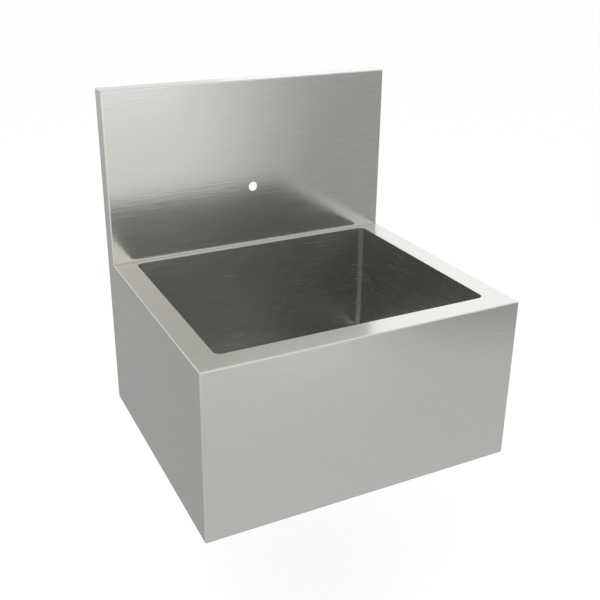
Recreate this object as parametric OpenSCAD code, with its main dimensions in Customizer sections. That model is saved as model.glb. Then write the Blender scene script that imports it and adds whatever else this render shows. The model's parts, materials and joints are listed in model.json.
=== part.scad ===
// Wall-hung surgical scrub sink, fabricated from stainless sheet: a deep coved bowl in a
// deck and apron box, a tall folded splashback with one tap hole, a wall hanger, and a
// basket waste with a lift-out strainer. Units are millimetres. X is to the right, Y runs
// from the front to the wall at Y = 0, and Z is up. The origin is on the wall, at the
// centre of the four wall fixings.

/* [Sink box] */
// Width of the sink
body_w = 700; // [600:10:900]
// Wall to the front of the apron
body_d = 600; // [520:10:700]
// Deck to the lower edge of the apron
apron_h = 365; // [345:5:450]
// Thickness of the apron, deck and splashback sheet
shell_t = 1.2; // [1:0.1:2]
// Outer radius of the sheet bends
bend_r = 3; // [2.5:0.5:4]
// Width of the deck on each side of the bowl
rim_side = 50; // [40:5:90]
// Width of the deck in front of the bowl
rim_front = 50; // [40:5:90]
// Width of the deck between the splashback and the bowl
rim_back = 15; // [15:1:40]
// Width of the flange turned in along the lower edge
return_w = 20; // [12:1:30]
// Width of the flange turned in against the wall on each side
wall_flange_w = 25; // [18:1:40]
// Height of the flange turned down from the deck behind the bowl
deck_flange_h = 26; // [24:1:40]

/* [Splashback] */
// Height of the splashback above the deck
splash_h = 395; // [300:5:600]
// Depth of the splashback from the wall
splash_d = 45; // [38:1:60]
// Width of the flange turned in against the wall around the splashback
splash_flange_w = 18; // [12:1:30]
// Depth of the skirt that runs down behind the deck
skirt_h = 70; // [66:1:90]
// Diameter of the tap hole
tap_hole_d = 22; // [18:0.5:35]
// Height of the tap hole above the deck
tap_hole_h = 143; // [90:1:200]
// Side of the square plate that backs the tap hole
tap_plate_w = 90; // [60:5:120]
// Thickness of the plate that backs the tap hole
tap_plate_t = 2; // [1.5:0.5:4]
// Radius of the plate's corners
tap_plate_r = 8; // [2:1:20]
// Distance from the centre line to each vertical stiffener
stiffener_x = 200; // [110:5:240]
// Distance from each end of a stiffener to the edge of the splashback
stiffener_end = 27.5; // [10:0.5:60]
// Depth of the stiffeners
stiffener_d = 20; // [12:1:26]
// Width of the raised part of a stiffener
stiffener_crown = 38; // [20:1:44]
// Width of each brim of a stiffener
stiffener_brim = 12; // [8:1:16]

/* [Bowl] */
// Deck to the edge of the bowl floor
bowl_depth = 285; // [250:5:300]
// Fall of the floor from its edge to the waste
bowl_fall = 12; // [8:1:16]
// Thickness of the bowl sheet
bowl_t = 1.5; // [1.2:0.1:2]
// Radius of the coved corners of the bowl
bowl_r = 15; // [10:1:30]
// Width of the flange that joins the bowl to the underside of the deck
bowl_flange_w = 10; // [6:1:10]

/* [Sound pads] */
// Thickness of the sound-deadening pads
pad_t = 3; // [2:0.5:4]
// Height of the pads on the walls of the bowl
pad_h = 150; // [80:5:150]
// Distance from the deck to the upper edge of the wall pads
pad_drop = 60; // [56:1:65]
// Distance from the ends of the wall pads to the corners of the bowl
pad_end = 80; // [40:5:150]
// Radius of the wall pads' corners
pad_r = 12; // [4:1:30]
// Margin around the pads under the floor
floor_pad_margin = 25; // [15:1:35]

/* [Wall hanger] */
// Distance from the deck to the upper wall fixings
upper_fixing_drop = 60; // [56:1:64]
// Distance from the lower edge of the apron to the lower wall fixings
lower_fixing_rise = 25; // [20:1:30]
// Diameter of the wall fixing holes
fixing_d = 10; // [8:0.5:12]
// Distance from the end of the wall bracket to the fixing holes
fixing_end = 50; // [20:5:120]
// Distance between the end of the wall bracket and the sink's wall flange
bracket_end = 25; // [5:1:60]
// Inner radius of the folds in the bracket, hanger, crossbar, stiffeners and earth tab
fold_r = 1.5; // [1:0.5:2]
// Thickness of the wall bracket
bracket_t = 3; // [2:0.5:3.5]
// Distance from the wall to the front of the bracket's lip
bracket_d = 15; // [13:1:18]
// Height of the bracket's lip
lip_h = 22; // [16:1:24]
// Distance from the fixings up to the bracket's trough
trough_rise = 22; // [16:1:24]
// Distance from the fixings down to the bracket's lower edge
bracket_tail = 30; // [16:1:40]
// Thickness of the hanger channel and the crossbar
hanger_t = 2; // [1.5:0.5:3]
// Height of the hanger channel's web
hanger_h = 60; // [50:1:62]
// Distance from the deck to the top of the hanger channel
hanger_drop = 4; // [2:0.5:5]
// Height of the rear crossbar
crossbar_h = 50; // [44:1:60]
// Depth of the rear crossbar
crossbar_d = 22; // [16:1:30]

/* [Hanger screws] */
// Distance from the side of the sink to the first screw
screw_inset = 77; // [50:1:120]
// Distance from the deck's bend to the screws
screw_drop = 12; // [11:0.5:13]
// Thread diameter of the screws
screw_d = 8; // [6:1:8]
// Width of the screws and nuts across their corners
screw_hex = 15; // [13:0.5:15]

/* [Earth tab] */
// Width of the tab
tab_w = 20; // [16:1:30]
// Height of the tab
tab_h = 26; // [24:1:40]
// Thickness of the tab
tab_t = 2; // [1.5:0.5:3]
// Radius of the tab's upper corners
tab_r = 6; // [2:0.5:7.5]
// Distance from the inner edge of the lower flange to the tab
tab_inset = 4; // [1:1:8]
// Distance from the wall to the tab
tab_back = 150; // [60:5:400]
// Diameter of the earth bolt
earth_d = 6; // [4:1:8]

/* [Waste] */
// Diameter of the waste hole in the bowl
waste_hole_d = 90; // [88:0.5:92]
// Diameter of the waste flange
waste_flange_d = 113; // [110:1:118]
// Thickness of the waste flange
waste_flange_t = 2; // [1.5:0.5:3]
// Fall of the waste flange from its edge to the cup
waste_flange_fall = 0.8; // [0.3:0.1:1]
// Outer diameter of the top of the waste cup
waste_cup_d = 86; // [84:0.5:87]
// Wall of the waste cup
waste_wall = 2; // [1.5:0.1:2.5]
// Depth of the waste cup below the top of its flange
waste_cup_h = 46; // [44:1:50]
// Radius of the foot of the waste cup
waste_cup_r = 8; // [4:1:10]
// Depth of the ledge that carries the strainer
ledge_drop = 7; // [5:0.5:7]
// Width of the ledge that carries the strainer
ledge_w = 4; // [3:0.5:5]
// Thread diameter of the waste outlet
outlet_d = 47.8; // [46:0.1:50]
// Wall of the waste outlet
outlet_wall = 3.5; // [2.5:0.5:4]
// Length of the waste outlet
outlet_h = 20; // [17:1:30]
// Thickness of the seal under the waste flange
seal_t = 2; // [1:0.5:3]
// Thickness of the seal under the bowl
under_seal_t = 3; // [2:0.5:4]
// Thickness of the slip ring between that seal and the locknut
slip_ring_t = 1; // [0.5:0.5:1.5]
// Height of the locknut
locknut_h = 12; // [8:1:14]
// Outer diameter of the locknut
locknut_d = 106; // [102:1:110]
// Outer diameter of the tailpiece
tail_d = 38; // [32:0.5:40]
// Wall of the tailpiece
tail_wall = 1.5; // [1:0.1:2]
// Length of the tailpiece
tail_len = 90; // [60:5:150]

/* [Strainer] */
// Depth of the strainer basket
basket_h = 31; // [26:1:33]
// Sheet of the strainer basket
basket_t = 1.2; // [0.8:0.1:1.5]
// Radius of the bead rolled into the basket's rim
basket_bead_r = 1; // [0.6:0.1:1.5]
// Radius of the foot of the strainer basket
basket_foot_r = 5; // [3:0.5:6]
// Diameter of the holes in the basket's floor
floor_hole_d = 5; // [3:0.5:5.5]
// Diameter of the holes in the basket's wall
wall_hole_d = 6; // [3:0.5:7]
// Holes in each row around the basket's wall
wall_holes = 16; // [8:1:18]
// Diameter of the strainer's knob
knob_d = 18; // [14:1:24]

/* [Hidden] */
$fn = 64;

// Gap between sheets that aren't welded, and between the strainer and its seat
gap = 0.3;
// Radial clearance of a thread in its nut
thread_gap = 0.1;
// Radial clearance of a bolt in a plain hole
bolt_gap = 0.5;
// Thickness of the glue between the bowl and its pads
glue_t = 0.1;
// How far a cut runs past the sheet that it goes through
cut = 1;

// Heights, with the origin midway between the upper and lower wall fixings
fixing_h = apron_h - upper_fixing_drop - lower_fixing_rise;
upper_fixing_z = fixing_h / 2;
lower_fixing_z = -fixing_h / 2;
deck_z = upper_fixing_z + upper_fixing_drop;
base_z = deck_z - apron_h;
splash_top_z = deck_z + splash_h;
tap_hole_z = deck_z + tap_hole_h;

// Plan of the deck and bowl
half_w = body_w / 2;
front_y = -body_d;
splash_y = -splash_d;
sheet_back_y = splash_y + shell_t;
bowl_back_y = splash_y - rim_back;
bowl_front_y = front_y + rim_front;
bowl_x = half_w - rim_side;
bowl_half_d = (bowl_back_y - bowl_front_y) / 2;
bowl_y = (bowl_back_y + bowl_front_y) / 2;
floor_z = deck_z - bowl_depth;
waste_z = floor_z - bowl_fall;
floor_x = bowl_x - bowl_r;
floor_y = bowl_half_d - bowl_r;

// Seat pressed into the bowl floor for the waste flange
seat_depth = waste_flange_t + seal_t;
seat_r = waste_flange_d / 2 + 1.5;
under_z = waste_z - seat_depth - bowl_t;

// Waste
cup_r = waste_cup_d / 2;
cup_low_r = cup_r - ledge_w;
cup_z = waste_z - waste_cup_h;
ledge_z = waste_z - ledge_drop;
slip_ring_z = under_z - under_seal_t - slip_ring_t;
locknut_z = slip_ring_z - locknut_h;
outlet_r = outlet_d / 2;
outlet_bore_r = outlet_r - outlet_wall;
outlet_z = cup_z - outlet_h;
tail_washer_t = 2;
tail_r = tail_d / 2;
tail_flange_t = 2;
tail_flange_r = outlet_r - 0.4;
tail_top_z = outlet_z - tail_washer_t;
tail_nut_lip = 3;
tail_nut_grip = 12;
tail_neck_r = tail_r - 0.5;
tail_neck_h = tail_flange_t + tail_nut_lip + 5;

// Strainer, resting on the ledge of the waste
basket_rim_r = cup_r - waste_wall - 0.5;
basket_r = cup_low_r - waste_wall - 1.2;
basket_rim_z = ledge_z + gap;
basket_z = basket_rim_z + basket_t - basket_h;
basket_floor_z = basket_z + basket_t;
knob_shank_r = 2;
knob_post_r = 3;
knob_head_h = 6;
knob_top_z = waste_z - 2;
knob_nut_h = 3;

// Wall bracket and hanger channel
flange_x = half_w - wall_flange_w;
bracket_x = flange_x - bracket_end;
fixing_x = bracket_x - fixing_end;
trough_z = upper_fixing_z + trough_rise;
hanger_x = half_w - shell_t - gap;
hanger_z = deck_z - hanger_drop;
hook_y = bracket_t + fold_r - bracket_d;
crossbar_x = half_w - bend_r - gap;
dimple_r = fixing_d / 2 + 8;

// Screws through the hanger channel, the skirt and the deck flange
screw_r = screw_d / 2;
screw_z = deck_z - bend_r - screw_drop;
screw_pitch = (body_w - 2 * screw_inset) / 3;
screw_head_h = 5.3;
weld_nut_h = 6.5;

// Earth tab, standing on the flange along the lower edge of the right-hand side
tab_x = half_w - return_w + tab_inset;
tab_foot_x = half_w - bend_r - gap;
tab_z = base_z + shell_t;
tab_hole_z = tab_z + tab_h - tab_w / 2;
earth_r = earth_d / 2;
earth_hex_r = earth_d * 0.95;
earth_washer_t = 1.2;
earth_head_h = 4;
earth_nut_h = 5;

// Rectangle from corner lo to corner hi, with rounded corners where corners holds a 1,
// counted from the lowest corner anticlockwise
module bent_outline(lo, hi, r, corners) {
  size = hi - lo;
  translate([lo.x + r, lo.y]) square([size.x - 2 * r, size.y]);
  translate([lo.x, lo.y + r]) square([size.x, size.y - 2 * r]);
  for (i = [0:3]) {
    right = i == 1 || i == 2;
    upper = i >= 2;
    translate([right ? hi.x - r : lo.x + r, upper ? hi.y - r : lo.y + r])
      if (corners[i] == 1) circle(r);
      else square(2 * r, center = true);
  }
}

// Block whose outline is bent as seen from above (plan), the front (face) and the side
module bent_block(lo, hi, r, plan, face, side) {
  intersection() {
    translate([0, 0, lo.z]) linear_extrude(hi.z - lo.z)
      bent_outline([lo.x, lo.y], [hi.x, hi.y], r, plan);
    translate([0, hi.y, 0]) rotate([90, 0, 0]) linear_extrude(hi.y - lo.y)
      bent_outline([lo.x, lo.z], [hi.x, hi.z], r, face);
    translate([lo.x, 0, 0]) rotate([90, 0, 90]) linear_extrude(hi.x - lo.x)
      bent_outline([lo.y, lo.z], [hi.y, hi.z], r, side);
  }
}

// Thin box of folded sheet
module bent_sheet(lo, hi, plan, face, side) {
  wall = [shell_t, shell_t, shell_t];
  difference() {
    bent_block(lo, hi, bend_r, plan, face, side);
    bent_block(lo + wall, hi - wall, bend_r - shell_t, plan, face, side);
  }
}

module block(lo, hi) {
  translate(lo) cube(hi - lo);
}

// Section of sheet folded along a path that runs through the middle of its thickness
module folded(path, t) {
  last = len(path) - 1;
  for (i = [0:last - 1]) {
    run = path[i + 1] - path[i];
    start = setback(path, i, t);
    translate(path[i]) rotate(atan2(run.y, run.x)) translate([start, -t / 2])
      square([norm(run) - start - setback(path, i + 1, t), t]);
  }
  for (i = [1:last - 1]) fold(path, i, t);
}

// Signed angle through which a path turns at point i
function turn_at(path, i) =
  let (before = path[i] - path[i - 1], after = path[i + 1] - path[i])
  atan2(cross(before, after), before * after);

// Distance from point i to where the sheet starts to bend
function setback(path, i, t) =
  i == 0 || i == len(path) - 1 ? 0 : (fold_r + t / 2) * tan(abs(turn_at(path, i)) / 2);

// Part of a ring between the two straight runs that meet at point i
module fold(path, i, t) {
  before = path[i] - path[i - 1];
  angle = turn_at(path, i);
  middle_r = fold_r + t / 2;
  far = 2 * middle_r;
  half = far * tan(abs(angle) / 2);
  translate(path[i]) rotate(atan2(before.y, before.x)) mirror([0, angle < 0 ? 1 : 0])
    translate([-setback(path, i, t), middle_r]) intersection() {
      difference() {
        circle(fold_r + t);
        circle(fold_r);
      }
      polygon([[0, 0], [0, -far], [half, -far], far * [sin(abs(angle)), -cos(angle)]]);
    }
}

// Extrudes an outline drawn in Y and Z along X, from -x to x
module across(x) {
  translate([-x, 0, 0]) rotate([90, 0, 90]) linear_extrude(2 * x) children();
}

module at_waste() {
  translate([0, bowl_y, 0]) children();
}

module hexagon(r, h) {
  cylinder(r = r, h = h, $fn = 6);
}

// Hexagon with the corners of its far end turned off
module hexagon_head(r, h) {
  chamfer_r = 0.92 * r;
  intersection() {
    hexagon(r, h);
    cylinder(r1 = chamfer_r + 2 * h, r2 = chamfer_r, h = h);
  }
}

// Half of a dish in section, with a rounded foot
module dish_section(r, z, top_z, foot_r) {
  translate([0, z]) square([r - foot_r, top_z - z]);
  translate([0, z + foot_r]) square([r, top_z - z - foot_r]);
  translate([r - foot_r, z + foot_r]) circle(foot_r);
}

// One ring about the waste's axis
module ring(r_out, r_in, z, h) {
  at_waste() rotate_extrude() translate([r_in, z]) square([r_out - r_in, h]);
}

// Bowl's opening seen from above, grown outwards
module bowl_outline(grow) {
  x = bowl_x + grow;
  y = bowl_half_d + grow;
  translate([0, bowl_y]) bent_outline([-x, -y], [x, y], bowl_r + grow, [1, 1, 1, 1]);
}

// Deck, apron and sides folded from sheet, with flanges at the base and the wall
module apron_shell() {
  behind_z = deck_z + body_w;
  color("silver") difference() {
    union() {
      // In front of the splashback, closed behind by the flange turned down from the deck
      difference() {
        bent_sheet([-half_w, front_y, base_z], [half_w, splash_y, deck_z],
          [1, 1, 0, 0], [1, 1, 1, 1], [1, 0, 1, 1]);
        block([-half_w + shell_t, splash_y - shell_t - cut, base_z + shell_t],
          [half_w - shell_t, splash_y + cut, deck_z - deck_flange_h]);
      }
      // Sides that run on below the splashback to the wall
      intersection() {
        bent_sheet([-half_w, 2 * splash_y, base_z], [half_w, 0, behind_z],
          [0, 0, 1, 1], [1, 1, 0, 0], [0, 0, 0, 0]);
        block([-half_w, splash_y, base_z], [half_w, 0, deck_z]);
      }
    }
    // Opening for the bowl
    translate([0, 0, deck_z - shell_t - cut]) linear_extrude(shell_t + 2 * cut) bowl_outline(0);
    // Open underside
    block([-half_w + return_w, front_y + return_w, base_z - cut],
      [half_w - return_w, cut, base_z + bend_r + cut]);
    // Open back
    block([-flange_x, -bend_r - cut, base_z - cut], [flange_x, cut, deck_z + cut]);
    screw_holes(splash_y - shell_t, shell_t);
  }
}

// Holes for the screws that join the splashback, hanger and deck flange
module screw_holes(y, sheet) {
  at_screws(y - cut) rotate([-90, 0, 0]) cylinder(r = screw_r + bolt_gap, h = sheet + 2 * cut);
}

module at_screws(y) {
  for (i = [0:3]) translate([(i - 1.5) * screw_pitch, y, screw_z]) children();
}

// Folded pan, open towards the wall, with a skirt that runs down behind the deck
module splashback() {
  flat_x = half_w - bend_r;
  skirt_z = deck_z - skirt_h;
  color("silver") difference() {
    union() {
      difference() {
        bent_sheet([-half_w, splash_y, skirt_z], [half_w, 0, splash_top_z],
          [1, 1, 1, 1], [0, 0, 1, 1], [0, 0, 1, 1]);
        block([-half_w - cut, splash_y - cut, skirt_z - cut], [half_w + cut, cut, deck_z]);
        block([-half_w + splash_flange_w, -bend_r - cut, deck_z - cut],
          [half_w - splash_flange_w, cut, splash_top_z - splash_flange_w]);
      }
      block([-flat_x, splash_y, skirt_z], [flat_x, sheet_back_y, deck_z + bend_r]);
    }
    tap_hole(splash_y, shell_t);
    screw_holes(splash_y, shell_t);
  }
}

module tap_hole(y, sheet) {
  translate([0, y - cut, tap_hole_z]) rotate([-90, 0, 0])
    cylinder(d = tap_hole_d, h = sheet + 2 * cut);
}

// Plate that stiffens the sheet around the tap hole
module tap_hole_plate() {
  half = tap_plate_w / 2;
  color("silver") difference() {
    translate([0, sheet_back_y + tap_plate_t, tap_hole_z]) rotate([90, 0, 0])
      linear_extrude(tap_plate_t)
        bent_outline([-half, -half], [half, half], tap_plate_r, [1, 1, 1, 1]);
    tap_hole(sheet_back_y, tap_plate_t);
  }
}

// Vertical hat section on the back of the splashback
module splash_stiffener(x) {
  low = shell_t / 2;
  high = stiffener_d - shell_t / 2;
  crown = stiffener_crown / 2 - low;
  brim = crown + stiffener_brim;
  color("silver") translate([x, sheet_back_y, deck_z + stiffener_end])
    linear_extrude(splash_h - 2 * stiffener_end)
      folded([[-brim, low], [-crown, low], [-crown, high], [crown, high], [crown, low],
        [brim, low]], shell_t);
}

// Inside of the bowl, or its outside when grown by the sheet: coved walls, a floor that
// falls in four creased faces, and the seat of the waste
module bowl_form(grow, top_z) {
  r = bowl_r + grow;
  z = floor_z - grow;
  low = [-bowl_x - grow, bowl_y - bowl_half_d - grow, z];
  high = [bowl_x + grow, bowl_y + bowl_half_d + grow, top_z];
  bent_block(low, high, r, [1, 1, 1, 1], [1, 1, 0, 0], [1, 1, 0, 0]);
  at_waste() {
    intersection() {
      across(floor_x) floor_section(floor_y, z);
      rotate([0, 0, 90]) across(floor_y) floor_section(floor_x, z);
    }
    translate([0, 0, waste_z - seat_depth - grow])
      cylinder(r = seat_r + grow, h = bowl_fall + seat_depth);
  }
}

module floor_section(half, z) {
  polygon([[-half, z], [0, z - bowl_fall], [half, z], [half, z + bowl_r], [-half, z + bowl_r]]);
}

// Coved bowl with a flange under the deck and a hole for the waste
module bowl() {
  top_z = deck_z - shell_t;
  color("silver") difference() {
    union() {
      bowl_form(bowl_t, top_z);
      translate([0, 0, top_z - bowl_t]) linear_extrude(bowl_t) bowl_outline(bowl_flange_w);
    }
    bowl_form(0, top_z + cut);
    at_waste() translate([0, 0, under_z - cut])
      cylinder(d = waste_hole_d, h = seat_depth + bowl_t + cut);
  }
}

// Pad glued to one wall of the bowl, at a distance and in a direction from its middle
module wall_pad(direction, distance, wall) {
  half = wall - pad_end;
  color("dimgray") at_waste() rotate([0, 0, direction])
    translate([distance + bowl_t + glue_t, 0, deck_z - pad_drop]) rotate([90, 0, 90])
      linear_extrude(pad_t) bent_outline([-half, -pad_h], [half, 0], pad_r, [1, 1, 1, 1]);
}

// Pad under one of the sloping faces of the floor, drawn back from its creases
module floor_pad(direction, run, half_edge) {
  slope = atan(bowl_fall / run);
  near = run - seat_r - floor_pad_margin;
  near_half = half_edge * (1 - near / run) - floor_pad_margin;
  far_half = half_edge * (1 - floor_pad_margin / run) - floor_pad_margin;
  rotate([0, 0, direction]) translate([run, 0, floor_z - bowl_t]) rotate([0, -slope, 0])
    translate([0, 0, -glue_t - pad_t]) linear_extrude(pad_t)
      polygon([[-near, -near_half], [-floor_pad_margin, -far_half],
        [-floor_pad_margin, far_half], [-near, near_half]]);
}

module floor_pads() {
  color("dimgray") at_waste() for (turn = [0, 180]) {
    floor_pad(turn, floor_x, floor_y);
    floor_pad(turn + 90, floor_y, floor_x);
  }
}

// Channel behind the skirt, whose rear leg hooks into the wall bracket
module hanger_channel() {
  web_y = sheet_back_y + hanger_t / 2;
  leg_y = hook_y + hanger_t / 2;
  top = hanger_z - hanger_t / 2;
  color("silver") difference() {
    across(hanger_x)
      folded([[web_y, hanger_z - hanger_h], [web_y, top], [leg_y, top], [leg_y, trough_z]],
        hanger_t);
    screw_holes(sheet_back_y, hanger_t);
  }
}

// Wall bracket: a plate with a trough and an upstanding lip
module wall_bracket() {
  plate_y = -bracket_t / 2;
  lip_y = bracket_t / 2 - bracket_d;
  trough = trough_z - bracket_t / 2;
  color("lightgray") difference() {
    across(bracket_x)
      folded([[plate_y, upper_fixing_z - bracket_tail], [plate_y, trough], [lip_y, trough],
        [lip_y, trough_z - bracket_t + lip_h]], bracket_t);
    fixing_holes(upper_fixing_z, bracket_t);
  }
}

// A pair of wall fixing holes through sheet that lies against the wall
module fixing_holes(z, sheet) {
  at_fixings(z, cut) cylinder(d = fixing_d, h = sheet + 2 * cut);
}

// Turns Z to point away from the wall, on the axes of a pair of wall fixings
module at_fixings(z, y) {
  for (x = [-fixing_x, fixing_x]) translate([x, y, z]) rotate([90, 0, 0]) children();
}

// Channel across the foot of the back, welded to the flanges of the sides, with a dimple
// around each fixing hole that is pressed back to the wall
module rear_crossbar() {
  t = hanger_t;
  y = -shell_t;
  web_y = y - t / 2;
  front = y - crossbar_d;
  low = base_z + shell_t + t / 2;
  top = low + crossbar_h - t;
  color("silver") difference() {
    union() {
      across(crossbar_x) folded([[front, low], [web_y, low], [web_y, top], [front, top]], t);
      at_fixings(lower_fixing_z, 0) cylinder(r = dimple_r, h = t - y);
    }
    at_fixings(lower_fixing_z, -t) cylinder(r = dimple_r - t, h = cut - y);
    fixing_holes(lower_fixing_z, t);
  }
}

// Hexagon screws from the wall side, and the nuts welded to the deck flange
module hanger_screws() {
  grip = hanger_t + 2 * shell_t;
  color("gainsboro") at_screws(sheet_back_y + hanger_t) {
    rotate([-90, 0, 0]) hexagon_head(screw_hex / 2, screw_head_h);
    rotate([90, 0, 0]) cylinder(r = screw_r, h = grip + weld_nut_h + 1);
  }
}

module weld_nuts() {
  color("gainsboro") at_screws(splash_y - shell_t) rotate([90, 0, 0]) difference() {
    hexagon_head(screw_hex / 2, weld_nut_h);
    translate([0, 0, -cut]) cylinder(r = screw_r + thread_gap, h = weld_nut_h + 2 * cut);
  }
}

// Tab for the earth bonding wire, with a foot that is welded to the flange
module earth_tab() {
  half = tab_w / 2;
  foot_z = tab_z + tab_t / 2;
  plate_x = tab_x + tab_t / 2;
  color("silver") difference() {
    intersection() {
      translate([0, half - tab_back, 0]) rotate([90, 0, 0]) linear_extrude(tab_w)
        folded([[tab_foot_x, foot_z], [plate_x, foot_z], [plate_x, tab_z + tab_h]], tab_t);
      translate([tab_x - cut, 0, 0]) rotate([90, 0, 90]) linear_extrude(body_w)
        bent_outline([-tab_back - half, tab_z], [half - tab_back, tab_z + tab_h], tab_r,
          [0, 0, 1, 1]);
    }
    at_earth(tab_x - cut) cylinder(r = earth_r + gap, h = tab_t + 2 * cut);
  }
}

// Turns Z to point along X, on the axis of the earth bolt
module at_earth(x) {
  translate([x, -tab_back, tab_hole_z]) rotate([0, 90, 0]) children();
}

module earth_bolt() {
  reach = tab_t + 2 * earth_washer_t + earth_nut_h + 3;
  head_x = tab_x + tab_t + earth_washer_t;
  color("gold") {
    at_earth(head_x) hexagon_head(earth_hex_r, earth_head_h);
    at_earth(head_x - reach) cylinder(r = earth_r, h = reach);
  }
}

module earth_nut() {
  color("gold") at_earth(tab_x - earth_washer_t) rotate([180, 0, 0]) difference() {
    hexagon_head(earth_hex_r, earth_nut_h);
    translate([0, 0, -cut]) cylinder(r = earth_r + thread_gap, h = earth_nut_h + 2 * cut);
  }
}

module earth_washers() {
  color("gold") for (x = [tab_x - earth_washer_t, tab_x + tab_t])
    at_earth(x) rotate_extrude() translate([earth_r + thread_gap, 0])
      square([earth_hex_r - earth_r + 0.5, earth_washer_t]);
}

// Waste: a dished flange, a stepped cup whose ledge carries the strainer, and a threaded
// outlet
module waste_body() {
  w = waste_wall;
  flange_r = waste_flange_d / 2;
  flange_z = waste_z - waste_flange_t;
  dished_z = waste_z - waste_flange_fall;
  color("silver") at_waste() rotate_extrude() difference() {
    union() {
      polygon([[0, flange_z], [flange_r, flange_z], [flange_r, dished_z],
        [flange_r - 2, waste_z], [flange_r - 4, waste_z], [cup_r - w, dished_z],
        [0, dished_z]]);
      translate([0, ledge_z - w]) square([cup_r, flange_z + w - ledge_z]);
      dish_section(cup_low_r, cup_z, ledge_z, waste_cup_r);
      translate([0, outlet_z]) square([outlet_r, outlet_h + w]);
    }
    translate([0, ledge_z]) square([cup_r - w, ledge_drop + cut]);
    dish_section(cup_low_r - w, cup_z + w, ledge_z + cut, waste_cup_r - w);
    translate([0, outlet_z - cut]) square([outlet_bore_r, outlet_h + w + 2 * cut]);
  }
}

module flange_seal() {
  color("black") ring(waste_flange_d / 2 - 1, waste_hole_d / 2, waste_z - seat_depth, seal_t);
}

module under_seal() {
  color("black")
    ring(locknut_d / 2 + 1, cup_r + gap, slip_ring_z + slip_ring_t, under_seal_t);
}

module slip_ring() {
  color("white") ring(locknut_d / 2, cup_r + gap, slip_ring_z, slip_ring_t);
}

// Ring nut with lugs for a wrench
module locknut() {
  lugs = 8;
  lug_w = 9;
  lug_reach = 5;
  brim_h = 2.5;
  body_r = locknut_d / 2 - lug_reach;
  color("white") at_waste() translate([0, 0, locknut_z]) difference() {
    union() {
      cylinder(r = body_r, h = locknut_h);
      translate([0, 0, locknut_h - brim_h]) cylinder(d = locknut_d, h = brim_h);
      for (i = [1:lugs]) rotate([0, 0, i * 360 / lugs])
        translate([body_r - 1, -lug_w / 2, 0]) cube([lug_reach, lug_w, locknut_h]);
    }
    translate([0, 0, -cut]) cylinder(r = cup_low_r + thread_gap, h = locknut_h + 2 * cut);
  }
}

module tail_washer() {
  color("white") ring(tail_flange_r, outlet_bore_r, tail_top_z, tail_washer_t);
}

// Flanged tube that leads to the trap, drawn in a little below its flange
module tailpiece() {
  bore_r = tail_r - tail_wall;
  color("gainsboro") {
    ring(tail_r, bore_r, tail_top_z - tail_len, tail_len - tail_neck_h);
    ring(tail_neck_r, bore_r, tail_top_z - tail_neck_h - tail_wall, tail_neck_h + tail_wall);
    ring(tail_flange_r, bore_r, tail_top_z - tail_flange_t, tail_flange_t);
  }
}

// Coupling nut that draws the tailpiece up to the outlet
module tail_nut() {
  lip_z = tail_top_z - tail_flange_t;
  height = tail_nut_lip + tail_flange_t + tail_washer_t + tail_nut_grip;
  across_corners = outlet_r + 8;
  color("gainsboro") at_waste() translate([0, 0, lip_z - tail_nut_lip]) difference() {
    intersection() {
      hexagon(across_corners, height);
      cylinder(r1 = across_corners - 3, r2 = across_corners + height, h = height);
    }
    translate([0, 0, -cut]) cylinder(r = tail_r + gap, h = height);
    translate([0, 0, tail_nut_lip]) cylinder(r = outlet_r + thread_gap, h = height);
  }
}

// Lift-out basket with a rim, pierced in its floor and wall
module strainer_basket() {
  t = basket_t;
  color("silver") at_waste() difference() {
    rotate_extrude() difference() {
      union() {
        dish_section(basket_r, basket_z, basket_rim_z + t, basket_foot_r);
        translate([0, basket_rim_z]) square([basket_rim_r - basket_bead_r, t]);
        translate([basket_rim_r - basket_bead_r, basket_rim_z + basket_bead_r])
          circle(basket_bead_r);
      }
      dish_section(basket_r - t, basket_floor_z, basket_rim_z + t + cut, basket_foot_r - t);
    }
    translate([0, 0, basket_z - cut]) cylinder(r = knob_shank_r + thread_gap, h = t + 2 * cut);
    floor_holes();
    side_holes();
  }
}

// Rings of six, twelve and eighteen holes between the knob's foot and the basket's foot
module floor_holes() {
  pitch = (basket_r - basket_foot_r - knob_post_r) / 3;
  for (k = [1:3], i = [1:6 * k])
    rotate([0, 0, i * 60 / k]) translate([knob_post_r + pitch * (k - 0.35), 0, basket_z - cut])
      cylinder(d = floor_hole_d, h = basket_t + 2 * cut);
}

// Two rows of holes around the basket's wall, set half a step apart
module side_holes() {
  step = 360 / wall_holes;
  row_rise = (basket_h - basket_foot_r) / 3;
  for (row = [1, 2], i = [1:wall_holes])
    rotate([0, 0, (i + row / 2) * step])
      translate([basket_r - basket_t - cut, 0, basket_z + basket_foot_r + row_rise * (row - 0.35)])
        rotate([0, 90, 0]) cylinder(d = wall_hole_d, h = basket_t + 2 * cut);
}

// Turned knob whose shank goes through the basket's floor into a cap nut
module strainer_knob() {
  r = knob_d / 2;
  shank_z = basket_z - knob_nut_h + 1;
  neck_z = knob_top_z - knob_head_h;
  color("gainsboro") at_waste() rotate_extrude() {
    translate([0, shank_z]) square([knob_shank_r, basket_floor_z - shank_z + cut]);
    translate([0, basket_floor_z]) square([knob_post_r, neck_z - basket_floor_z]);
    translate([0, neck_z])
      polygon([[0, -2], [knob_post_r, -2], [r - 1, 0], [r, 1], [r, knob_head_h - 2],
        [r - 2, knob_head_h], [0, knob_head_h]]);
  }
}

module strainer_nut() {
  color("gainsboro") at_waste() translate([0, 0, basket_z - knob_nut_h]) difference() {
    cylinder(r1 = 3.5, r2 = 5, h = knob_nut_h);
    translate([0, 0, 0.9]) cylinder(r = knob_shank_r + thread_gap, h = knob_nut_h);
  }
}

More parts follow.
